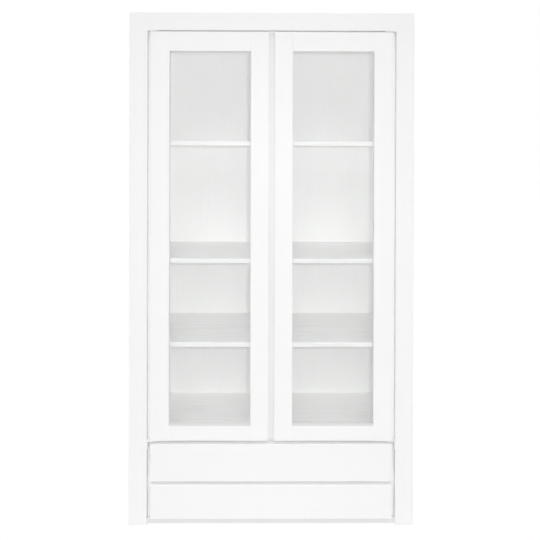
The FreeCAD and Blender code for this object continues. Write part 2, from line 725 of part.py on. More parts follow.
def drawer(level):
    """Drawer box: front, two grooved sides let into it, a back and a bottom panel slid in from behind."""
    front_z = f"{level}_front_z"
    box_z = f"{front_z} + box_lift"
    box_top_z = f"{box_z} + box_height"
    panel_z = f"{box_z} + drawer_panel_inset"
    panel_top_z = f"{panel_z} + drawer_panel_thick"
    lap_y = "drawer_back_of_front_y - lap_depth"

    front = board(f"{level}_drawer_front", ("-drawer_front_x", "front_y", front_z),
                  ("drawer_front_x", "drawer_back_of_front_y", f"{front_z} + {level}_front_height"))
    for side in SIDES:
        lap = rectangle(("-box_outer_x", lap_y), ("-box_inner_x", "drawer_back_of_front_y"))
        pocket(front, "z", box_z, box_top_z, [on_side(side, lap)])
    groove = rectangle(("drawer_back_of_front_y - groove_depth", panel_z),
                       ("drawer_back_of_front_y", panel_top_z))
    pocket(front, "x", "-box_inner_x", "box_inner_x", [groove])
    ease(front, "x", y="front_y")
    ease(front, "z", y="front_y")

    for side in SIDES:
        wall = sub_part(f"{level}_drawer_{side}_side")
        outline = rectangle(("-box_outer_x", lap_y), ("-box_inner_x", "drawer_rear_y"))
        pad(wall, "z", box_z, box_top_z, [on_side(side, outline)])
        groove = rectangle(("-box_inner_x - groove_depth", panel_z), ("-box_inner_x", panel_top_z))
        pocket(wall, "y", lap_y, "drawer_rear_y", [on_side(side, groove)])

    board(f"{level}_drawer_back", ("-box_inner_x", "drawer_rear_y - drawer_back_thick", panel_top_z),
          ("box_inner_x", "drawer_rear_y", box_top_z))
    panel = board(f"{level}_drawer_bottom",
                  ("-box_inner_x", "drawer_back_of_front_y - groove_depth", panel_z),
                  ("box_inner_x", "drawer_rear_y", panel_top_z))
    wings = [on_side(side, rectangle(("-box_inner_x - groove_depth", "drawer_back_of_front_y"),
                                     ("-box_inner_x", "drawer_rear_y"))) for side in SIDES]
    pad(panel, "z", panel_z, panel_top_z, wings)


def channel(web_x, tip_x, low_z, high_z, sense):
    """Section of a rolled steel channel with its web at web_x and lipped flanges that reach to tip_x."""
    inside_x = f"{web_x} {sense} steel_thick"
    lip_x = f"{tip_x} {'-' if sense == '+' else '+'} steel_thick"
    return [(web_x, low_z), (tip_x, low_z), (tip_x, f"{low_z} + lip_height"),
            (lip_x, f"{low_z} + lip_height"), (lip_x, f"{low_z} + steel_thick"),
            (inside_x, f"{low_z} + steel_thick"),
            (inside_x, f"{high_z} - steel_thick"), (lip_x, f"{high_z} - steel_thick"),
            (lip_x, f"{high_z} - lip_height"), (tip_x, f"{high_z} - lip_height"), (tip_x, high_z),
            (web_x, high_z)]


def runner_low_z(level):
    """Lowest edge of a runner, halfway up the side of its drawer."""
    return f"{level}_front_z + box_lift + (box_height - runner_height) / 2"


def runner_sections(level):
    """Left-hand sections of the cabinet, middle and drawer members of a runner, nested in one another."""
    low = runner_low_z(level)
    high = f"{low} + runner_height"
    cabinet = channel("-wall_x", "-cabinet_member_x", low, high, "+")
    middle = channel("-middle_web_x", "-middle_member_x", f"{low} + race_step", f"{high} - race_step", "+")
    inner = channel("-box_outer_x", "-drawer_member_x",
                    f"{low} + 2 * race_step", f"{high} - 2 * race_step", "-")
    return cabinet, middle, inner


def ball_strips(level, side):
    """Ball cages of a runner, above and below the middle member's flanges and inside them."""
    low = runner_low_z(level)
    high = f"{low} + runner_height"
    outer_race = ("-middle_web_x", "-cabinet_member_x - steel_thick - race_play")
    inner_race = ("-drawer_member_x", "-middle_member_x - steel_thick - race_play")
    cage = "race_height - race_play"
    spots = {
        "under": (outer_race, f"{low} + race_step - ({cage})", f"{low} + race_step"),
        "over": (outer_race, f"{high} - race_step", f"{high} - race_step + {cage}"),
        "inside_low": (inner_race, f"{low} + race_step + steel_thick",
                       f"{low} + race_step + steel_thick + {cage}"),
        "inside_high": (inner_race, f"{high} - race_step - steel_thick - ({cage})",
                        f"{high} - race_step - steel_thick"),
    }
    strips = []
    for name, ((low_x, high_x), low_z, high_z) in spots.items():
        low_x, high_x = span(side, low_x, high_x)
        strips.append(block(f"{level}_{side}_{name}_cage", (low_x, "runner_y", low_z),
                            (high_x, "runner_rear_y", high_z)))
    return strips


def runners():
    """Telescopic runners in three members: one on the cabinet, one on the drawer and one between them."""
    cabinet_members = sub_part("runner_cabinet_members")
    for level in DRAWERS:
        cabinet, middle, inner = runner_sections(level)
        pad(cabinet_members, "y", "runner_y", "runner_rear_y", [on_side(side, cabinet) for side in SIDES])
        drawer_members = sub_part(f"{level}_drawer_runner_members")
        pad(drawer_members, "y", "runner_y", "runner_rear_y", [on_side(side, inner) for side in SIDES])
        members = []
        for side in SIDES:
            member = body(f"{level}_{side}_middle_member")
            pad(member, "y", "runner_y", "runner_rear_y", [on_side(side, middle)])
            members += [member] + ball_strips(level, side)
        group(f"{level}_runner_middle_members", members)


# ---------------------------------------------------------------- document

def build():
    """Draws every piece, from the sizes up."""
    fill_sheet()
    front_frame()
    hollow_sides()
    horizontal_boards()
    partition()
    back_panels()
    back_screws()
    carcase_dowels()
    floor_glides()
    shelves()
    shelf_pins()
    for side in SIDES:
        door_frame(side)
        door_glazing(side)
        door_fittings(side)
    door_pivots()
    door_magnets()
    for level in DRAWERS:
        drawer(level)
    runners()
    doc.recompute()


def check():
    """Stops before anything is written if a feature failed, a cut removed nothing or a shape is not sound."""
    for obj in doc.Objects:
        if "Invalid" in obj.State or "Error" in obj.State:
            raise RuntimeError(f"{obj.Name} failed: {obj.State}")
        if obj.TypeId == "PartDesign::Pocket":
            removed = obj.BaseFeature.Shape.Volume - obj.Shape.Volume
            if removed < SMALL:
                raise RuntimeError(f"{obj.Name} cuts nothing")
    for part in parts:
        if part.Shape.isNull() or not part.Shape.isValid():
            raise RuntimeError(f"{part.Label} has no sound shape")


def write():
    """Writes a STEP file for each sub-part."""
    os.makedirs("parts", exist_ok=True)
    for part in parts:
        part.Shape.exportStep(f"parts/{part.Label}.step")
        print(f"{part.Label}: {len(part.Shape.Solids)} solids, {part.Shape.Volume / 1000:.1f} cm3")
    print(f"{len(parts)} sub-parts")


build()
check()
write()
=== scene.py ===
"""Bookcase with glass doors: finishes, small fittings, stage, lamps and camera around its frame.

The cabinet stands on Z = 0 and faces -Y. Lengths are in metres.
"""

import json
import logging
import math
import random
from collections.abc import Callable, Iterable
from dataclasses import dataclass, replace
from enum import Enum, IntEnum, StrEnum

import bpy
from mathutils import Euler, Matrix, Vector

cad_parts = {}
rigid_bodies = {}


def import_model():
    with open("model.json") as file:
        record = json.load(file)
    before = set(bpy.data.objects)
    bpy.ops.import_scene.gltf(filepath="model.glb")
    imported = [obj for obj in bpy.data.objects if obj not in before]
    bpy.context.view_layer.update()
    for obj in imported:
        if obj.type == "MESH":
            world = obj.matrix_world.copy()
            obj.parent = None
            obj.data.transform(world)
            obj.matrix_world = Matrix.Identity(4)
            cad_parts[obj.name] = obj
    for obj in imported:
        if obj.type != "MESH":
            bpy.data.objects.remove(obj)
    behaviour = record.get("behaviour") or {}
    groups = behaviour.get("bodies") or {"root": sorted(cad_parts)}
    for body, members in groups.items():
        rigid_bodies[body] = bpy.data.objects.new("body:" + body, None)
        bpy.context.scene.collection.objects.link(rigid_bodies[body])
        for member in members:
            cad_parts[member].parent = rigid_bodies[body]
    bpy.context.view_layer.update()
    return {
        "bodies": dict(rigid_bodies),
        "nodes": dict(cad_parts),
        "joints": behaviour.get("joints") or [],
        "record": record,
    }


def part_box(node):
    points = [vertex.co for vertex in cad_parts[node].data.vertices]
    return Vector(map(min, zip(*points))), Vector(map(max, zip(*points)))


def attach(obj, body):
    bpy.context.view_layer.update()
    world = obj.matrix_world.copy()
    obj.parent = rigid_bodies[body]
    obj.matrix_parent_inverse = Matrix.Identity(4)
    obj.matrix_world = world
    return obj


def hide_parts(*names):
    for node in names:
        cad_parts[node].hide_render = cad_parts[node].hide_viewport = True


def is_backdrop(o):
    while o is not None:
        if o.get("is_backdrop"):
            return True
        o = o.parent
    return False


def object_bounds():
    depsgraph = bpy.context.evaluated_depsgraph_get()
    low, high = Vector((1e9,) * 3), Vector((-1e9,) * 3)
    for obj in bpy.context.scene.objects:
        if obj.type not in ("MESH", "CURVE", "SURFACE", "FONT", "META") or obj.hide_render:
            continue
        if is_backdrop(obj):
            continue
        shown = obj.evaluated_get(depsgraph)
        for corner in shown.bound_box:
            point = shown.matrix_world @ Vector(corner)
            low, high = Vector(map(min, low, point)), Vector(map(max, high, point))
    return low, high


LOG = logging.getLogger("bookcase")

Span = tuple[float, float]
Triple = tuple[float, float, float]
Colour = Triple
Box = tuple[Vector, Vector]
Node = bpy.types.Node
Tree = bpy.types.NodeTree
Socket = bpy.types.NodeSocket
Material = bpy.types.Material
Piece = bpy.types.Object
Face = bpy.types.MeshPolygon

WHITE: Colour = (1.0, 1.0, 1.0)
SQUARE = 2.0
HALF = 0.5
QUARTER_TURN = 90.0


class Side(StrEnum):
    """A side of the cabinet, seen from the front."""

    LEFT = "left"
    RIGHT = "right"


class Level(StrEnum):
    """Height of a shelf or, but for the middle one, of a drawer."""

    LOWER = "lower"
    MIDDLE = "middle"
    UPPER = "upper"


class ColourMix(IntEnum):
    """Sockets of a Mix node for colours, by number, because their names repeat."""

    FIRST = 6
    SECOND = 7
    RESULT = 2


class LightFrom(Enum):
    """Direction from the cabinet towards an extra light."""

    BEHIND = (0.0, 1.0, 0.0)
    ABOVE = (0.0, 0.0, 1.0)
    RIGHT = (1.0, 0.0, 0.0)
    LEFT = (-1.0, 0.0, 0.0)


# ---------------- node trees

class Net:
    """A node tree, with short ways to add nodes and join them."""

    def __init__(self, tree: Tree) -> None:
        """Keeps the tree that the methods add to."""
        self.tree = tree

    def add(self, kind: str, *values: object, **settings: object) -> Node:
        """Adds a node.

        Args:
            kind: the node's type, without the leading ShaderNode.
            values: socket or plain value for each of its first inputs.
            settings: attributes of the node, such as operation.

        Returns:
            The new node.
        """
        node = self.tree.nodes.new(f"ShaderNode{kind}")
        for name, setting in settings.items():
            setattr(node, name, setting)
        for socket, source in zip(node.inputs, values):
            self.feed(socket, source)
        return node

    def feed(self, target: Socket, source: object) -> None:
        """Joins a socket to another one, or sets it to a plain value.

        Args:
            target: the socket that is fed.
            source: the socket that feeds it, or a plain value.
        """
        if isinstance(source, Socket):
            self.tree.links.new(source, target)
        else:
            target.default_value = source

    def math(self, operation: str, *values: object, clamp: bool = False) -> Socket:
        """Works out a number from one to three others."""
        return self.add("Math", *values, operation=operation, use_clamp=clamp).outputs[0]

    def stretch(self, place: object, scale: Triple) -> Socket:
        """Multiplies each coordinate of a place by its own factor."""
        return self.add("VectorMath", place, scale, operation="MULTIPLY").outputs[0]

    def weigh(self, first: object, first_share: object, second: object,
              second_share: object) -> Socket:
        """Adds two numbers, each times its share."""
        return self.math("ADD", self.math("MULTIPLY", first, first_share),
                         self.math("MULTIPLY", second, second_share))

    def noise(self, place: object, scale: float, detail: float) -> Socket:
        """Makes soft noise between 0 and 1.

        Args:
            place: socket of the place.
            scale: how fast the noise changes.
            detail: how many finer layers it has.

        Returns:
            The socket of the noise.
        """
        node = self.add("TexNoise", place)
        node.inputs["Scale"].default_value = scale
        node.inputs["Detail"].default_value = detail
        return node.outputs["Fac"]

    def ramp(self, number: object, low: float, high: float) -> Socket:
        """Turns a number from low to high into one from 0 to 1, with soft ends."""
        return self.add("MapRange", number, low, high, interpolation_type="SMOOTHSTEP",
                        clamp=True).outputs["Result"]

    def blend(self, share: object, first: object, second: object) -> Socket:
        """Mixes two colours.

        Args:
            share: share of the second colour, from 0 to 1.
            first: socket or plain colour.
            second: socket or plain colour.

        Returns:
            The socket of the mixed colour.
        """
        node = self.add("Mix", share, data_type="RGBA")
        for place, colour in ((ColourMix.FIRST, first), (ColourMix.SECOND, second)):
            plain = not isinstance(colour, Socket)
            self.feed(node.inputs[place], (*colour, 1.0) if plain else colour)
        return node.outputs[ColourMix.RESULT]

    def place(self, tree: Tree, **values: object) -> Node:
        """Places a node group and sets its inputs.

        Args:
            tree: the group.
            values: socket or plain value for each input, with an underscore for each space.

        Returns:
            The group's node.
        """
        node = self.add("Group", node_tree=tree)
        for name, source in values.items():
            self.feed(node.inputs[name.replace("_", " ")], source)
        return node

    def bump(self, height: object, depth: float) -> Socket:
        """Turns a height into a normal.

        Args:
            height: socket of the height, from 0 to 1.
            depth: depth that the whole height stands for.

        Returns:
            The socket of the normal.
        """
        node = self.add("Bump")
        node.inputs["Strength"].default_value = 1.0
        node.inputs["Distance"].default_value = depth
        self.feed(node.inputs["Height"], height)
        return node.outputs[0]

    def surface(self) -> Socket:
        """The input of the material's output node that shows on the surface."""
        output = next(node for node in self.tree.nodes if node.type == "OUTPUT_MATERIAL")
        return output.inputs["Surface"]


@dataclass(frozen=True)
class Noise:
    """Soft noise that is drawn out differently along each coordinate.

    Attributes:
        scale: how fast it changes along each coordinate.
        detail: how many finer layers it has.
    """

    scale: Triple
    detail: float = 2.0

    def at(self, net: Net, place: Socket) -> Socket:
        """The noise at a place, from 0 to 1."""
        return net.noise(net.stretch(place, self.scale), 1.0, self.detail)

    def about_zero(self, net: Net, place: Socket) -> Socket:
        """The noise at a place, from minus a half to a half."""
        return net.math("SUBTRACT", self.at(net, place), HALF)


def new_group(name: str, takes: Iterable[str], gives: Iterable[str]) -> tuple[Net, dict, dict]:
    """Starts a shader node group that turns a place and some numbers into other numbers.

    Args:
        name: the group's name.
        takes: names of the numbers that it takes beside the place.
        gives: names of those that it gives.

    Returns:
        The group's net, its inputs by name and its outputs by name.
    """
    tree = bpy.data.node_groups.new(name, "ShaderNodeTree")
    add_socket = tree.interface.new_socket
    add_socket(name="Place", in_out="INPUT", socket_type="NodeSocketVector")
    for in_out, labels in (("INPUT", takes), ("OUTPUT", gives)):
        for label in labels:
            add_socket(name=label, in_out=in_out, socket_type="NodeSocketFloat")
    start = tree.nodes.new("NodeGroupInput")
    end = tree.nodes.new("NodeGroupOutput")
    inputs = {socket.name: socket for socket in start.outputs if socket.name}
    outputs = {socket.name: socket for socket in end.inputs if socket.name}
    return Net(tree), inputs, outputs


@dataclass(frozen=True)
class BrushedGrain:
    """Node group for the relief of brushed softwood, with the grain along the third coordinate.

    Attributes:
        name: name of the group.
        wander, wander_reach: slow wander of the grain, and how far the rings follow it.
        ripple, ripple_reach: short ripples, and how far the rings follow them.
        knot_squash: scale of the knots along each coordinate.
        knots_per_metre: how close together knots may lie.
        knot_edge: where a knot begins to fade and where it ends, in parts of their spacing.
        knot_swerve: how far the rings swerve around a knot.
        lean: how much further off the pith lies with each metre along the board.
        ring_rise, ring_fall, hard_line: parts of a ring that rise, fall and darken.
        coarse_fibre, fine_fibre: wide and narrow fibres left by the brush.
        coarse_edge: values between which the wide ones stand up.
        fibre_shares: shares of wide and narrow fibres.
        height_shares: shares of rings and fibres in the height.
        cloud: soft patches in the lacquer.
        shade_shares, knot_shade: how much hollows, patches and knots darken the colour.
        sheen_shares: shares of narrow fibres and patches in the sheen.
    """

    name: str = "brushed_grain"
    wander: Noise = Noise((5.0, 5.0, 0.9), 1.0)
    wander_reach: float = 0.045
    ripple: Noise = Noise((22.0, 22.0, 8.0))
    ripple_reach: float = 0.02
    knot_squash: Triple = (1.0, 1.0, 0.55)
    knots_per_metre: float = 5.5
    knot_edge: Span = (0.02, 0.34)
    knot_swerve: float = 0.03
    lean: float = 0.011
    ring_rise: Span = (0.0, 0.82)
    ring_fall: Span = (0.88, 1.0)
    hard_line: Span = (0.5, 0.86)
    coarse_fibre: Noise = Noise((260.0, 260.0, 7.0), 3.0)
    coarse_edge: Span = (0.3, 0.7)
    fine_fibre: Noise = Noise((1100.0, 1100.0, 16.0))
    fibre_shares: Span = (0.6, 0.4)
    height_shares: Span = (0.42, 0.58)
    cloud: Noise = Noise((9.0, 9.0, 2.2))
    shade_shares: Span = (0.45, 0.25)
    knot_shade: float = 0.35
    sheen_shares: Span = (0.6, 0.4)

    def group(self) -> Tree:
        """Makes the group once.

        Returns:
            A group that takes a place, the rings per metre and the strength of knots and hard
            lines, and gives Height, Shade and Sheen, all from 0 to 1.
        """
        if self.name in bpy.data.node_groups:
            return bpy.data.node_groups[self.name]
        net, takes, gives = new_group(self.name, ("Ring Density", "Knots", "Figure"),
                                      ("Height", "Shade", "Sheen"))
        place = takes["Place"]
        wander = self.wander.about_zero(net, place)
        # Knots: rare rounded spots that the rings swerve around.
        cells = net.add("TexVoronoi", feature="F1", distance="EUCLIDEAN")
        net.feed(cells.inputs["Vector"], net.stretch(place, self.knot_squash))
        cells.inputs["Scale"].default_value = self.knots_per_metre
        spot = net.math("SUBTRACT", 1.0, net.ramp(cells.outputs["Distance"], *self.knot_edge))
        knot = net.math("MULTIPLY", spot, takes["Knots"])
        # Growth rings about a pith that lies outside the board.
        axes = net.add("SeparateXYZ", place)
        across = net.math("POWER", axes.outputs["X"], SQUARE)
        through = net.math("POWER", axes.outputs["Y"], SQUARE)
        radius = net.math("SQRT", net.math("ADD", across, through))
        ripple = self.ripple.about_zero(net, place)
        bend = net.weigh(wander, self.wander_reach, ripple, self.ripple_reach)
        swerve = net.math("ADD", bend, net.math("MULTIPLY", knot, self.knot_swerve))
        leaning = net.math("ADD", radius, net.math("MULTIPLY", axes.outputs["Z"], self.lean))
        phase = net.math("MULTIPLY", net.math("ADD", leaning, swerve), takes["Ring Density"])
        ring = net.math("FRACT", phase)
        # Each ring rises slowly through the soft wood and falls fast after the hard line.
        rise = net.ramp(ring, *self.ring_rise)
        fall = net.ramp(ring, *self.ring_fall)
        ridge = net.math("SUBTRACT", rise, fall)
        coarse = self.coarse_fibre.at(net, place)
        fine = self.fine_fibre.at(net, place)
        coarse_share, fine_share = self.fibre_shares
        fibre = net.weigh(net.ramp(coarse, *self.coarse_edge), coarse_share, fine, fine_share)
        ridge_share, fibre_share = self.height_shares
        height = net.weigh(ridge, ridge_share, fibre, fibre_share)
        net.feed(gives["Height"], height)
        # The colour is darker where the relief is low, and in soft patches.
        hollow = net.math("SUBTRACT", 1.0, height)
        cloud = self.cloud.at(net, place)
        hollow_share, cloud_share = self.shade_shares
        shade = net.weigh(hollow, hollow_share, cloud, cloud_share)
        darkening = net.math("SUBTRACT", net.ramp(ring, *self.hard_line), fall)
        line = net.math("MULTIPLY", darkening, takes["Figure"])
        marks = net.math("ADD", net.math("MULTIPLY", knot, self.knot_shade), line)
        net.feed(gives["Shade"], net.math("ADD", shade, marks, clamp=True))
        fine_share, cloud_share = self.sheen_shares
        net.feed(gives["Sheen"], net.weigh(fine, fine_share, cloud, cloud_share))
        return net.tree


@dataclass(frozen=True)
class FinePits:
    """Node group for the small even roughness of metal and moulded plastic.

    Attributes:
        name: name of the group.
        small_detail, wide_detail: how many finer layers the pits and the patches have.
        wide_scale: how fast the patches change, as a share of the pits.
    """

    name: str = "fine_pits"
    small_detail: float = 4.0
    wide_scale: float = 0.08
    wide_detail: float = 2.0

    def group(self) -> Tree:
        """Makes the group once.

        Returns:
            A group that takes a place and pits per metre and gives Height and Sheen, from 0 to 1.
        """
        if self.name in bpy.data.node_groups:
            return bpy.data.node_groups[self.name]
        net, takes, gives = new_group(self.name, ("Density",), ("Height", "Sheen"))
        scaled = net.add("VectorMath", takes["Place"], operation="SCALE")
        net.feed(scaled.inputs["Scale"], takes["Density"])
        small = net.noise(scaled.outputs[0], 1.0, self.small_detail)
        wide = net.noise(scaled.outputs[0], self.wide_scale, self.wide_detail)
        net.feed(gives["Height"], small)
        net.feed(gives["Sheen"], net.weigh(small, HALF, wide, HALF))
        return net.tree


def new_material(name: str) -> tuple[Material, Net, Node]:
    """Starts a material with one Principled shader.

    Args:
        name: the material's name.

    Returns:
        The material, its net and its shader.
    """
    material = bpy.data.materials.new(name)
    material.use_nodes = True
    material.node_tree.nodes.clear()
    net = Net(material.node_tree)
    shader = net.add("BsdfPrincipled")
    net.add("OutputMaterial", shader.outputs[0])
    return material, net, shader


# ---------------- finishes

@dataclass(frozen=True)
class BrushedPine:
    """Pine board, brushed and lacquered, primed or left bare.

    Attributes:
        pale, deep: colours of the ridges and of the hollows.
        roughness: lowest and highest roughness.
        relief: depth of the brushed grain.
        ring_density: growth rings per metre.
        pith, pith_spread: distance from the board's middle to the pith of its tree, and the
            smallest and largest share of it from board to board.
        sideways: how far the pith may lie to one side, as a share of the board's width.
        lengthways: how far up or down the tree a board may come from.
        knots, figure: how strongly knots and the rings' hard lines show, from 0 to 1.
        lipping, lipping_depth: colour and depth of painted shade on the front edge, if it has one.
        lipping_wear: share of that colour that is left in the painted shade's darker patches.
    """

    pale: Colour
    deep: Colour
    roughness: Span = (0.42, 0.58)
    relief: float = 0.00022
    ring_density: float = 150.0
    pith: float = 0.085
    pith_spread: Span = (0.8, 1.3)
    sideways: float = 0.45
    lengthways: float = 9.0
    knots: float = 1.0
    figure: float = 0.2
    lipping: Colour | None = None
    lipping_depth: float = 0.0036
    lipping_wear: float = 0.97

    def on(self, name: str, corners: Box) -> Material:
        """Makes the finish for one board, with its own grain along the board's length.

        Args:
            name: the board's name, which also chooses where in the tree it was sawn.
            corners: the board's lowest and highest corner.

        Returns:
            The material.
        """
        low, high = Vector(corners[0]), Vector(corners[1])
        extent = high - low
        thin, wide, long = sorted(range(len(extent)), key=lambda index: extent[index])
        draw = random.Random(name)
        material, net, shader = new_material(f"{name}_finish")
        coordinates = net.add("TexCoord")
        shifted = net.add("Mapping", coordinates.outputs["Object"])
        shift = -(low + high) / 2
        shift[thin] += self.pith * draw.uniform(*self.pith_spread)
        shift[wide] += extent[wide] * draw.uniform(-self.sideways, self.sideways)
        shift[long] += draw.uniform(-self.lengthways, self.lengthways)
        shifted.inputs["Location"].default_value = shift
        axes = net.add("SeparateXYZ", shifted.outputs[0])
        turned = net.add("CombineXYZ", *(axes.outputs[index] for index in (wide, thin, long)))
        grain = net.place(BrushedGrain().group(), Place=turned.outputs[0],
                          Ring_Density=self.ring_density, Knots=self.knots, Figure=self.figure)
        colour = net.blend(grain.outputs["Shade"], self.pale, self.deep)
        # Painted shade: a greyer strip on the front edge, a little darker still in patches.
        if self.lipping:
            own_axes = net.add("SeparateXYZ", coordinates.outputs["Object"])
            edge_y = low.y + self.lipping_depth
            behind = net.math("GREATER_THAN", own_axes.outputs["Y"], edge_y)
            worn = tuple(self.lipping_wear * channel for channel in self.lipping)
            shade_strip = net.blend(grain.outputs["Sheen"], self.lipping, worn)
            colour = net.blend(behind, shade_strip, colour)
        net.feed(shader.inputs["Base Color"], colour)
        low_gloss, high_gloss = self.roughness
        spread = net.math("MULTIPLY_ADD", grain.outputs["Sheen"], high_gloss - low_gloss, low_gloss)
        net.feed(shader.inputs["Roughness"], spread)
        net.feed(shader.inputs["Normal"], net.bump(grain.outputs["Height"], self.relief))
        return material


class SharedFinish:
    """A finish that is the same on every piece that has it."""

    def paint(self, net: Net, shader: Node) -> None:
        """Adds the finish's own nodes to a new material."""
        raise NotImplementedError

    def named(self, name: str) -> Material:
        """Makes the finish as a material, once for each name.

        Args:
            name: the material's name.

        Returns:
            The material.
        """
        if name in bpy.data.materials:
            return bpy.data.materials[name]
        material, net, shader = new_material(name)
        self.paint(net, shader)
        return material


@dataclass(frozen=True)
class Pitted(SharedFinish):
    """Metal or plastic with a fine even roughness.

    Attributes:
        colour: the surface's colour.
        worn: colour where handling has dulled it.
        metallic: 1 for metal, 0 for plastic.
        roughness: lowest and highest roughness.
        relief: depth of the roughness.
        density: pits per metre.
    """

    colour: Colour
    worn: Colour
    metallic: float
    roughness: Span
    relief: float = 0.00001
    density: float = 1400.0

    def paint(self, net: Net, shader: Node) -> None:
        """Adds the pits and their colours.

        Args:
            net: the material's net.
            shader: its shader.
        """
        coordinates = net.add("TexCoord")
        pits = net.place(FinePits().group(), Place=coordinates.outputs["Object"],
                         Density=self.density)
        sheen = pits.outputs["Sheen"]
        net.feed(shader.inputs["Base Color"], net.blend(sheen, self.colour, self.worn))
        low, high = self.roughness
        net.feed(shader.inputs["Roughness"], net.math("MULTIPLY_ADD", sheen, high - low, low))
        net.feed(shader.inputs["Normal"], net.bump(pits.outputs["Height"], self.relief))
        shader.inputs["Metallic"].default_value = self.metallic


@dataclass(frozen=True)
class ClearGlass(SharedFinish):
    """Float glass that lamps shine through.

    Attributes:
        tint: colour of light that has passed through.
        refraction: index of refraction.
        smears_per_metre, smear_detail: spacing and finer layers of the patches left by wiping.
        smear_edge: values between which a patch fades in.
        smear_roughness: roughness in the middle of a patch.
    """

    tint: Colour = (0.994, 0.998, 0.996)
    refraction: float = 1.5
    smears_per_metre: float = 7.0
    smear_detail: float = 3.0
    smear_edge: Span = (0.45, 0.9)
    smear_roughness: float = 0.03

    def paint(self, net: Net, shader: Node) -> None:
        """Adds the smears, and lets light for the shelves pass straight through.

        Args:
            net: the material's net.
            shader: its shader.
        """
        coordinates = net.add("TexCoord")
        smear = net.noise(coordinates.outputs["Object"], self.smears_per_metre, self.smear_detail)
        patch = net.ramp(smear, *self.smear_edge)
        net.feed(shader.inputs["Roughness"], net.math("MULTIPLY", patch, self.smear_roughness))
        shader.inputs["Base Color"].default_value = (*self.tint, 1.0)
        shader.inputs["Transmission Weight"].default_value = 1.0
        shader.inputs["IOR"].default_value = self.refraction
        path = net.add("LightPath")
        clear = net.add("BsdfTransparent")
        clear.inputs["Color"].default_value = (*self.tint, 1.0)
        straight = net.math("MAXIMUM", path.outputs["Is Shadow Ray"],
                            path.outputs["Is Diffuse Ray"])
        mix = net.add("MixShader", straight, shader.outputs[0], clear.outputs[0])
        net.feed(net.surface(), mix.outputs[0])


FRAME_LACQUER = BrushedPine(pale=(0.955, 0.955, 0.953), deep=(0.935, 0.935, 0.932))
DOOR_LACQUER = BrushedPine(pale=(0.96, 0.96, 0.958), deep=(0.94, 0.94, 0.937))
# The carcase's and the shelves' lacquers are whiter than the frame's: painted light that brightens the
# inside.
CARCASE_LACQUER = BrushedPine(pale=(0.98, 0.98, 0.978), deep=(0.96, 0.96, 0.957))
# The partition's front edge gets a greyer strip: painted shade where it shows between the doors.
EDGE_SHADED_LACQUER = replace(CARCASE_LACQUER, lipping=(0.88, 0.88, 0.878))
# The bottom board is greyer than the rest: painted shade on its front below the drawers.
PLINTH_PAINTED_SHADE = BrushedPine(pale=(0.83, 0.83, 0.828), deep=(0.8, 0.8, 0.797))
BACK_LACQUER = BrushedPine(pale=(0.965, 0.965, 0.962), deep=(0.92, 0.92, 0.916),
                           roughness=(0.55, 0.7), relief=0.0004, ring_density=70.0, figure=0.35)
SHELF_LACQUER = BrushedPine(pale=(0.99, 0.99, 0.988), deep=(0.86, 0.86, 0.855), relief=0.0006,
                            ring_density=50.0, figure=0.5)
BOX_LACQUER = BrushedPine(pale=(0.93, 0.93, 0.92), deep=(0.89, 0.885, 0.87),
                          roughness=(0.6, 0.75), relief=0.00015)
PRIMED_PINE = BrushedPine(pale=(0.92, 0.91, 0.885), deep=(0.83, 0.79, 0.72),
                          roughness=(0.6, 0.8), relief=0.0001, figure=0.5)
BEECH = BrushedPine(pale=(0.74, 0.56, 0.38), deep=(0.6, 0.42, 0.27), roughness=(0.5, 0.65),
                    relief=0.00005, ring_density=600.0, knots=0.0)
RUNNER_STEEL = Pitted(colour=(0.62, 0.63, 0.65), worn=(0.5, 0.51, 0.53), metallic=1.0,
                      roughness=(0.28, 0.42))
WHITE_ENAMEL = Pitted(colour=(0.93, 0.93, 0.925), worn=(0.9, 0.9, 0.89), metallic=0.0,
                      roughness=(0.35, 0.45))
PIVOT_STEEL = Pitted(colour=(0.66, 0.65, 0.63), worn=(0.55, 0.54, 0.52), metallic=1.0,
                     roughness=(0.25, 0.36))
ZINC_STEEL = Pitted(colour=(0.68, 0.7, 0.72), worn=(0.56, 0.57, 0.58), metallic=1.0,
                    roughness=(0.3, 0.45))
WHITE_PLASTIC = Pitted(colour=(0.85, 0.85, 0.84), worn=(0.8, 0.8, 0.78), metallic=0.0,
                       roughness=(0.35, 0.5), relief=0.00002, density=900.0)
PANE = ClearGlass()


# ---------------- workshop

SHARP_ANGLE = math.radians(40)
SMOOTH_ANGLE = math.radians(35)
SAME_POINT = 0.00001
FACING = 0.9
POINT_DIGITS = 5
ORDER_DIGITS = 3


def leave_edit() -> None:
    """Goes back to object mode."""
    bpy.ops.object.mode_set(mode="OBJECT")


def deselect() -> None:
    """Leaves nothing selected."""
    if bpy.context.object and bpy.context.object.mode != "OBJECT":
        leave_edit()
    bpy.ops.object.select_all(action="DESELECT")


def activate(piece: Piece) -> None:
    """Selects one piece alone and makes it the active one.

    Args:
        piece: the piece.
    """
    deselect()
    piece.select_set(True)
    bpy.context.view_layer.objects.active = piece


def pick_faces(piece: Piece, wanted: Callable[[Face], bool]) -> None:
    """Opens a piece in edit mode with some of its faces selected.

    Args:
        piece: the piece.
        wanted: test that a face has to pass.
    """
    activate(piece)
    bpy.ops.object.mode_set(mode="EDIT")
    bpy.ops.mesh.select_mode(type="FACE")
    bpy.ops.mesh.select_all(action="DESELECT")
    leave_edit()
    for face in piece.data.polygons:
        face.select = wanted(face)
    bpy.ops.object.mode_set(mode="EDIT")


def soften(piece: Piece, width: float, segments: int = 2) -> None:
    """Bevels the sharp edges of a piece.

    Args:
        piece: the piece.
        width: width of the bevel.
        segments: how many faces it has across.
    """
    activate(piece)
    modifier = piece.modifiers.new("soft_edges", "BEVEL")
    modifier.width = width
    modifier.segments = segments
    modifier.limit_method = "ANGLE"
    modifier.angle_limit = SHARP_ANGLE
    bpy.ops.object.modifier_apply(modifier=modifier.name)


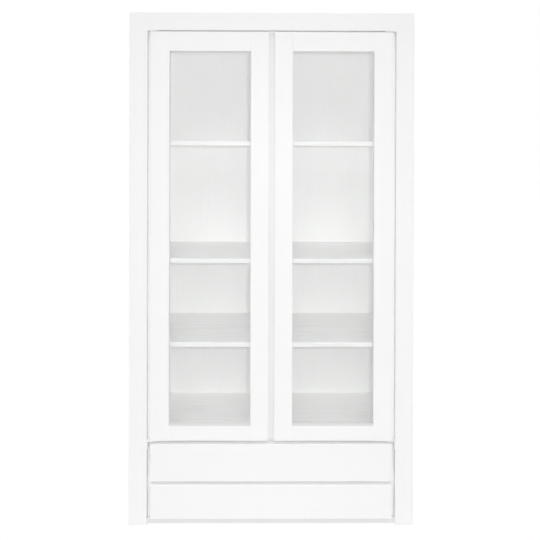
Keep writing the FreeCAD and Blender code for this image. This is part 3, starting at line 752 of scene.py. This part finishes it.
def cut_away(piece: Piece, cutter: Piece) -> None:
    """Takes the cutter's volume out of the piece.

    Args:
        piece: the piece.
        cutter: a closed shape, which is deleted.
    """
    activate(piece)
    modifier = piece.modifiers.new("cut", "BOOLEAN")
    modifier.object = cutter
    modifier.operation = "DIFFERENCE"
    modifier.solver = "EXACT"
    bpy.ops.object.modifier_apply(modifier=modifier.name)
    bpy.data.objects.remove(cutter)


def settle(piece: Piece) -> None:
    """Puts the piece's place, turn and scale into its mesh."""
    activate(piece)
    bpy.ops.object.transform_apply(location=True, rotation=True, scale=True)


def cylinder(name: str, radius: float, height: float, base_z: float, vertices: int) -> Piece:
    """Adds an upright cylinder on the Z axis, as a start for a piece.

    Args:
        name: the piece's name.
        radius: its radius.
        height: its height.
        base_z: height of its lowest face.
        vertices: corners of its round faces.

    Returns:
        The cylinder.
    """
    deselect()
    bpy.ops.mesh.primitive_cylinder_add(vertices=vertices, radius=radius, depth=height,
                                        location=(0, 0, base_z + height / 2))
    piece = bpy.context.object
    piece.name = name
    settle(piece)
    return piece


def brick(name: str, low: Iterable[float], high: Iterable[float]) -> Piece:
    """Adds a box, as a start for a piece.

    Args:
        name: the piece's name.
        low: its lowest corner.
        high: its highest corner.

    Returns:
        The box.
    """
    deselect()
    low, high = Vector(low), Vector(high)
    bpy.ops.mesh.primitive_cube_add(size=1.0, location=(low + high) / 2)
    piece = bpy.context.object
    piece.scale = high - low
    piece.name = name
    settle(piece)
    return piece


def join(name: str, members: list[Piece]) -> Piece:
    """Joins pieces into one.

    Args:
        name: name of the joined piece.
        members: the pieces.

    Returns:
        The joined piece.
    """
    deselect()
    for member in members:
        member.select_set(True)
    bpy.context.view_layer.objects.active = members[0]
    bpy.ops.object.join()
    members[0].name = name
    return members[0]


def copy_to(piece: Piece, spots: list[tuple[Vector, Triple]]) -> list[Piece]:
    """Copies a model that was made about the origin.

    Args:
        piece: the model, which is deleted.
        spots: for each copy its place and its turn in radians.

    Returns:
        The copies, each with its own mesh in place.
    """
    copies = []
    for place, turn in spots:
        activate(piece)
        bpy.ops.object.duplicate()
        copy = bpy.context.object
        copy.location = place
        copy.rotation_euler = turn
        settle(copy)
        copies.append(copy)
    bpy.data.objects.remove(piece)
    return copies


def solid_boxes(node: Piece) -> list[Box]:
    """Measures each separate solid of a node.

    Args:
        node: the node's object.

    Returns:
        Lowest and highest corner of each solid, from left to right and bottom to top.
    """
    keys = [tuple(round(c, POINT_DIGITS) for c in vertex.co) for vertex in node.data.vertices]
    solids: list[set[tuple]] = []
    for face in node.data.polygons:
        corners = {keys[index] for index in face.vertices}
        touching = [solid for solid in solids if solid & corners]
        solids = [solid for solid in solids if not solid & corners]
        solids.append(corners.union(*touching))
    boxes = [(Vector(map(min, zip(*points))), Vector(map(max, zip(*points)))) for points in solids]
    return sorted(boxes, key=lambda box: (round(box[0].x, ORDER_DIGITS),
                                          round(box[0].z, ORDER_DIGITS), box[0].y))


def fit_out(piece: Piece, body: str, material: Material) -> None:
    """Finishes a new piece: even normals, smooth faces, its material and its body.

    Args:
        piece: the piece.
        body: the body that it moves with.
        material: its material.
    """
    activate(piece)
    bpy.ops.object.mode_set(mode="EDIT")
    bpy.ops.mesh.select_all(action="SELECT")
    bpy.ops.mesh.remove_doubles(threshold=SAME_POINT)
    bpy.ops.mesh.normals_make_consistent(inside=False)
    leave_edit()
    bpy.ops.object.shade_smooth_by_angle(angle=SMOOTH_ANGLE)
    piece.data.materials.clear()
    piece.data.materials.append(material)
    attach(piece, body)
    LOG.info("piece %s on %s: %d faces", piece.name, body, len(piece.data.polygons))


# ---------------- sub-assemblies

@dataclass
class Assembly:
    """What every sub-assembly shares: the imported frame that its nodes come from."""

    frame: dict

    def dress(self, name: str, finish: BrushedPine | SharedFinish) -> None:
        """Gives a node its finish; a board gets a grain of its own.

        Args:
            name: the node's name.
            finish: its finish.
        """
        node = self.frame["nodes"][name]
        if isinstance(finish, BrushedPine):
            material = finish.on(name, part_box(name))
        else:
            material = finish.named(f"{node.material_slots[0].name}_finish".replace(":", "_"))
        for slot in node.material_slots:
            slot.material = material
        LOG.info("node %s dressed", name)


@dataclass
class Fasteners(Assembly):
    """Turned and pressed fasteners that stand where the plain solids are.

    Attributes:
        head_vertices: corners of a screw's round head.
        head_flat: width of the rim around its flat top, as a share of its radius.
        head_crown, head_rounding, cutter_top: rise of that top, rounding of the rim and height
            of the slot cutters, as shares of the head's height.
        head_rounding_faces: faces across the rounding.
        recess_width, recess_depth, recess_reach: width, depth and length of a cross slot.
        shank_vertices, shank_radius: corners and radius of the shank.
        shank_rest: room for the tip at the end of the hole.
        tip_width: width of the tip's end, as a share of the shank's.
        pin_vertices, pin_rounding: corners of a shelf pin, and rounding of its edges.
        pin_nose: how far it stands out of its board.
        pin_step: how much thinner it is inside the board, as a share of its radius.
    """

    head_vertices: int = 28
    head_flat: float = 0.3
    head_crown: float = 0.12
    head_rounding: float = 0.35
    head_rounding_faces: int = 3
    cutter_top: float = 1.5
    recess_width: float = 0.0009
    recess_depth: float = 0.0011
    recess_reach: float = 0.0046
    shank_vertices: int = 12
    shank_radius: float = 0.0017
    shank_rest: float = 0.002
    tip_width: float = 0.2
    pin_vertices: int = 20
    pin_nose: float = 0.009
    pin_step: float = 0.29
    pin_rounding: float = 0.0005

    def screw(self, head_radius: float, full_height: float, shank_length: float) -> Piece:
        """Makes a cross-slotted pan-headed screw about the origin, its head upward from Z = 0.

        Args:
            head_radius: radius of its head.
            full_height: height of its head, crown included.
            shank_length: length of its shank, without the tip.

        Returns:
            The screw.
        """
        head_height = full_height / (1 + self.head_crown)
        head = cylinder("back_screw", head_radius, head_height, 0, self.head_vertices)
        pick_faces(head, lambda face: face.normal.z > FACING)
        bpy.ops.mesh.inset(thickness=head_radius * self.head_flat)
        bpy.ops.transform.translate(value=(0, 0, head_height * self.head_crown))
        leave_edit()
        soften(head, head_height * self.head_rounding, self.head_rounding_faces)
        reach, width = self.recess_reach / 2, self.recess_width / 2
        top = head_height * self.cutter_top
        floor = head_height * (1 + self.head_crown) - self.recess_depth
        for half_x, half_y in ((reach, width), (width, reach)):
            cut_away(head, brick("slot_cutter", (-half_x, -half_y, floor), (half_x, half_y, top)))
        shank = cylinder("shank", self.shank_radius, shank_length, -shank_length,
                         self.shank_vertices)
        pick_faces(shank, lambda face: face.normal.z < -FACING)
        tip = {"value": (0, 0, -self.shank_radius)}
        bpy.ops.mesh.extrude_region_move(TRANSFORM_OT_translate=tip)
        bpy.ops.transform.resize(value=(self.tip_width, self.tip_width, 1.0))
        leave_edit()
        return join("back_screw", [head, shank])

    def back_screws(self) -> None:
        """Drives the screws of the back panels, each turned as it happened to stop."""
        boxes = solid_boxes(self.frame["nodes"]["back_panel_screws"])
        panel_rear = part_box("left_back_panel")[1][1]
        low, high = boxes[0]
        shank_length = panel_rear - low.y - self.shank_rest
        model = self.screw((high.x - low.x) / 2, high.y - panel_rear, shank_length)
        draw = random.Random("back screws")
        spots = []
        for low, high in boxes:
            place = Vector(((low.x + high.x) / 2, panel_rear, (low.z + high.z) / 2))
            spots.append((place, (-math.pi / 2, draw.uniform(0, math.pi), 0)))
        screws = join("back_screws", copy_to(model, spots))
        fit_out(screws, "cabinet", ZINC_STEEL.named("zinc_finish"))
        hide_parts("back_panel_screws")

    def shelf_pins(self) -> None:
        """Sets the stepped pins under the shelves, with rounded noses."""
        boxes = solid_boxes(self.frame["nodes"]["shelf_pins"])
        low, high = boxes[0]
        radius = (high.z - low.z) / 2
        length = high.x - low.x
        pin = cylinder("shelf_pin", radius, self.pin_nose, 0, self.pin_vertices)
        pick_faces(pin, lambda face: face.normal.z < -FACING)
        bpy.ops.mesh.inset(thickness=radius * self.pin_step)
        peg = {"value": (0, 0, self.pin_nose - length)}
        bpy.ops.mesh.extrude_region_move(TRANSFORM_OT_translate=peg)
        leave_edit()
        soften(pin, self.pin_rounding)
        spots = []
        for low, high in boxes:
            middle = (low + high) / 2
            outer_wall = abs(middle.x) > (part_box("left_inner_side")[1][0] * -1) / 2
            towards_right = (middle.x < 0) == outer_wall
            wall_x = high.x - self.pin_nose if towards_right else low.x + self.pin_nose
            turn = math.pi / 2 if towards_right else -math.pi / 2
            spots.append((Vector((wall_x, middle.y, middle.z)), (0, turn, 0)))
        pins = join("turned_shelf_pins", copy_to(pin, spots))
        fit_out(pins, "cabinet", ZINC_STEEL.named("zinc_finish"))
        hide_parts("shelf_pins")

    def build(self) -> None:
        """Makes all the fasteners."""
        self.back_screws()
        self.shelf_pins()


@dataclass
class Carcase(Assembly):
    """The front frame, the boards, the shelves and the fittings that stay still.

    Attributes:
        rail_clearance: gap between the drawer rail and what is next to it.
        rail_thickness, rail_rounding: its thickness from front to back, and its edges' radius.
    """

    rail_clearance: float = 0.0025
    rail_thickness: float = 0.02
    rail_rounding: float = 0.0015

    def drawer_rail(self) -> None:
        """Makes the rail that stands behind the gap between the two drawers."""
        lower_side, upper_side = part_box("lower_drawer_left_side"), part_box("upper_drawer_left_side")
        front_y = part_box("lower_drawer_front")[1][1] + self.rail_clearance
        half = abs(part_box("left_inner_side")[1][0])
        low = (-half, front_y, lower_side[1][2] + self.rail_clearance)
        high = (half, front_y + self.rail_thickness, upper_side[0][2] - self.rail_clearance)
        rail = brick("drawer_rail", low, high)
        soften(rail, self.rail_rounding)
        grain = CARCASE_LACQUER.on("drawer_rail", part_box("lower_drawer_front"))
        fit_out(rail, "cabinet", grain)

    def build(self) -> None:
        """Dresses every node of the cabinet's own body."""
        for side in Side:
            self.dress(f"{side}_front_post", FRAME_LACQUER)
            self.dress(f"{side}_outer_side", CARCASE_LACQUER)
            self.dress(f"{side}_inner_side", CARCASE_LACQUER)
            self.dress(f"{side}_rear_post", PRIMED_PINE)
            self.dress(f"{side}_back_panel", BACK_LACQUER)
            for level in Level:
                self.dress(f"{side}_{level}_shelf", SHELF_LACQUER)
        self.dress("top_front_rail", FRAME_LACQUER)
        self.dress("top_board", CARCASE_LACQUER)
        self.dress("ceiling_board", CARCASE_LACQUER)
        self.dress("deck_board", SHELF_LACQUER)
        self.dress("bottom_board", PLINTH_PAINTED_SHADE)
        self.dress("centre_partition", EDGE_SHADED_LACQUER)
        self.dress("top_rear_rail", PRIMED_PINE)
        self.dress("carcase_dowels", BEECH)
        self.dress("door_pivots", WHITE_ENAMEL)
        self.dress("door_magnets", WHITE_PLASTIC)
        self.dress("floor_glides", WHITE_PLASTIC)
        self.dress("runner_cabinet_members", RUNNER_STEEL)
        self.drawer_rail()


@dataclass
class Door(Assembly):
    """One framed glass door, which hangs on its side of the cabinet."""

    side: Side

    def build(self) -> None:
        """Dresses the door's nodes."""
        for part in ("hinge_stile", "meeting_stile", "bottom_rail", "top_rail", "beads"):
            self.dress(f"{self.side}_door_{part}", DOOR_LACQUER)
        self.dress(f"{self.side}_door_glass", PANE)
        self.dress(f"{self.side}_door_pivot_bushes", PIVOT_STEEL)
        self.dress(f"{self.side}_door_strike_plate", ZINC_STEEL)


@dataclass
class Drawer(Assembly):
    """The drawer at one level, with its runners."""

    level: Level

    def build(self) -> None:
        """Dresses the drawer's nodes and its runners."""
        self.dress(f"{self.level}_drawer_front", FRAME_LACQUER)
        for part in ("left_side", "right_side", "back", "bottom"):
            self.dress(f"{self.level}_drawer_{part}", BOX_LACQUER)
        self.dress(f"{self.level}_drawer_runner_members", RUNNER_STEEL)
        self.dress(f"{self.level}_runner_middle_members", RUNNER_STEEL)


# ---------------- stage

@dataclass
class Stage:
    """Floor, surrounding light, lamps and camera.

    Attributes:
        eye_distance, eye_height: camera's distance from the cabinet's front, and its height.
        turn, tilt, roll: degrees that it looks to the right, looks down and leans to its left.
        lens, sensor: focal length and width of the sensor in millimetres.
        shift: horizontal and vertical lens shift.
        clipping: nearest and furthest distance that the camera sees.
        surrounding: strength of the light from all round.
        front_light, rear_light, side_light, top_light: extra strength from each direction.
        front_axis: direction in which the front light is strongest.
        spread: power that narrows each extra light about its direction.
        ring_power, key_power: watts of the lamp about the camera and of the one beside it.
        lamp_size, key_offset: width of both, and place of the second from the camera.
        floor_size, floor_colour: width and colour of the floor.
        floor_dark: share of that colour in its darker speckles.
        speckles_per_metre, speckle_detail: how close these lie, and their finer layers.
        floor_roughness, floor_gloss: how rough the floor is and how much it reflects.
        floor_lift, floor_glow: share and strength of plain white where the floor is seen.
        bounces: how often light may be thrown from board to board inside the cabinet.
    """

    eye_distance: float = 2.049
    eye_height: float = 1.478
    turn: float = 0.3
    tilt: float = 0.14
    roll: float = 0.155
    lens: float = 35.07
    sensor: float = 36.0
    shift: Span = (-0.0085, -0.2255)
    clipping: Span = (0.01, 200.0)
    surrounding: float = 0.27
    front_light: float = 2.7
    rear_light: float = 3.8
    side_light: float = 2.8
    top_light: float = 2.8
    front_axis: Triple = (0.0, -1.0, 0.9)
    spread: float = 20.0
    ring_power: float = 1.45
    key_power: float = 1.3
    lamp_size: float = 0.02
    key_offset: Triple = (0.094, 0.0, 0.055)
    floor_size: float = 60.0
    floor_colour: Colour = (0.86, 0.86, 0.86)
    floor_dark: float = 0.98
    speckles_per_metre: float = 40.0
    speckle_detail: float = 3.0
    floor_roughness: float = 0.9
    floor_gloss: float = 0.1
    floor_lift: float = 0.62
    floor_glow: float = 1.2
    bounces: int = 9

    def floor(self) -> None:
        """Lays a pale floor that shows white to the eye and keeps the cabinet's shadow."""
        deselect()
        bpy.ops.mesh.primitive_plane_add(size=self.floor_size)
        floor = bpy.context.object
        floor.name = "floor"
        material, net, shader = new_material("pale_floor")
        coordinates = net.add("TexCoord")
        speckle = net.noise(coordinates.outputs["Object"], self.speckles_per_metre,
                            self.speckle_detail)
        darker = tuple(channel * self.floor_dark for channel in self.floor_colour)
        net.feed(shader.inputs["Base Color"], net.blend(speckle, self.floor_colour, darker))
        shader.inputs["Roughness"].default_value = self.floor_roughness
        shader.inputs["Specular IOR Level"].default_value = self.floor_gloss
        path = net.add("LightPath")
        glow = net.add("Emission")
        glow.inputs["Strength"].default_value = self.floor_glow
        seen = net.math("MAXIMUM", path.outputs["Is Camera Ray"],
                        path.outputs["Is Transmission Ray"])
        lift = net.math("MULTIPLY", seen, self.floor_lift)
        mix = net.add("MixShader", lift, shader.outputs[0], glow.outputs[0])
        net.feed(net.surface(), mix.outputs[0])
        floor.data.materials.append(material)
        floor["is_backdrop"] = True

    def surround(self) -> None:
        """Sets soft light that is strongest along five directions, and white where it is seen."""
        world = bpy.data.worlds.new("surround")
        world.use_nodes = True
        world.node_tree.nodes.clear()
        net = Net(world.node_tree)
        path = net.add("LightPath")
        seen = net.math("MAXIMUM", path.outputs["Is Camera Ray"], path.outputs["Is Glossy Ray"])
        seen = net.math("MAXIMUM", seen, path.outputs["Is Transmission Ray"])
        direction = net.add("TexCoord").outputs["Generated"]
        strength = self.surrounding
        extras = ((self.front_axis, self.front_light),
                  (LightFrom.BEHIND.value, self.rear_light),
                  (LightFrom.ABOVE.value, self.top_light),
                  (LightFrom.RIGHT.value, self.side_light),
                  (LightFrom.LEFT.value, self.side_light))
        for axis, extra in extras:
            facing = net.add("VectorMath", direction, Vector(axis).normalized(),
                             operation="DOT_PRODUCT")
            ahead = net.math("MAXIMUM", facing.outputs["Value"], 0.0)
            lobe = net.math("POWER", ahead, self.spread)
            strength = net.math("ADD", net.math("MULTIPLY", lobe, extra), strength)
        unseen = net.math("SUBTRACT", 1.0, seen)
        strength = net.math("ADD", net.math("MULTIPLY", strength, unseen), seen)
        background = net.add("Background", (*WHITE, 1.0), strength)
        net.add("OutputWorld", background.outputs[0])
        bpy.context.scene.world = world

    def eye(self) -> Vector:
        """Place of the camera."""
        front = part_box("left_front_post")[0][1]
        return Vector((0.0, front - self.eye_distance, self.eye_height))

    def lamp(self, name: str, place: Vector, power: float) -> None:
        """Adds a round lamp that looks at the middle of the cabinet.

        Its strength is the same at every distance, so that foot and top are lit alike.

        Args:
            name: the lamp's name.
            place: where it stands.
            power: its power in watts.
        """
        deselect()
        bpy.ops.object.light_add(type="AREA", location=place)
        lamp = bpy.context.object
        lamp.name = name
        lamp.data.shape = "DISK"
        lamp.data.size = self.lamp_size
        lamp.data.energy = power
        middle = sum(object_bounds(), Vector()) / 2
        lamp.rotation_euler = (middle - place).to_track_quat("-Z", "Y").to_euler()
        lamp.visible_camera = False
        lamp.data.use_nodes = True
        lamp.data.node_tree.nodes.clear()
        net = Net(lamp.data.node_tree)
        falloff = net.add("LightFalloff")
        falloff.inputs["Strength"].default_value = 1.0
        glow = net.add("Emission")
        net.feed(glow.inputs["Strength"], falloff.outputs["Constant"])
        net.add("OutputLight", glow.outputs[0])

    def camera(self) -> None:
        """Sets the camera, nearly level and shifted down to take in the whole cabinet."""
        deselect()
        lean = Euler((0, 0, math.radians(self.roll))).to_matrix()
        pitch = math.radians(QUARTER_TURN - self.tilt)
        aim = Euler((pitch, 0, -math.radians(self.turn))).to_matrix()
        bpy.ops.object.camera_add(location=self.eye(), rotation=(aim @ lean).to_euler())
        camera = bpy.context.object
        camera.name = "camera"
        camera.data.lens = self.lens
        camera.data.sensor_width = self.sensor
        camera.data.shift_x, camera.data.shift_y = self.shift
        camera.data.clip_start, camera.data.clip_end = self.clipping
        bpy.context.scene.camera = camera

    def build(self) -> None:
        """Sets up the whole stage."""
        self.camera()
        self.floor()
        self.surround()
        self.lamp("ring_lamp", self.eye(), self.ring_power)
        self.lamp("key_lamp", self.eye() + Vector(self.key_offset), self.key_power)
        bpy.context.scene.view_settings.view_transform = "Standard"
        bpy.context.scene.cycles.diffuse_bounces = self.bounces


def main() -> None:
    """Builds the stage and the sub-assemblies in order."""
    logging.basicConfig(level=logging.INFO, format="%(name)s: %(message)s")
    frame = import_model()
    Stage().build()
    Carcase(frame).build()
    for side in Side:
        Door(frame, side).build()
    for level in (Level.LOWER, Level.UPPER):
        Drawer(frame, level).build()
    Fasteners(frame).build()


if __name__ == "__main__":
    main()
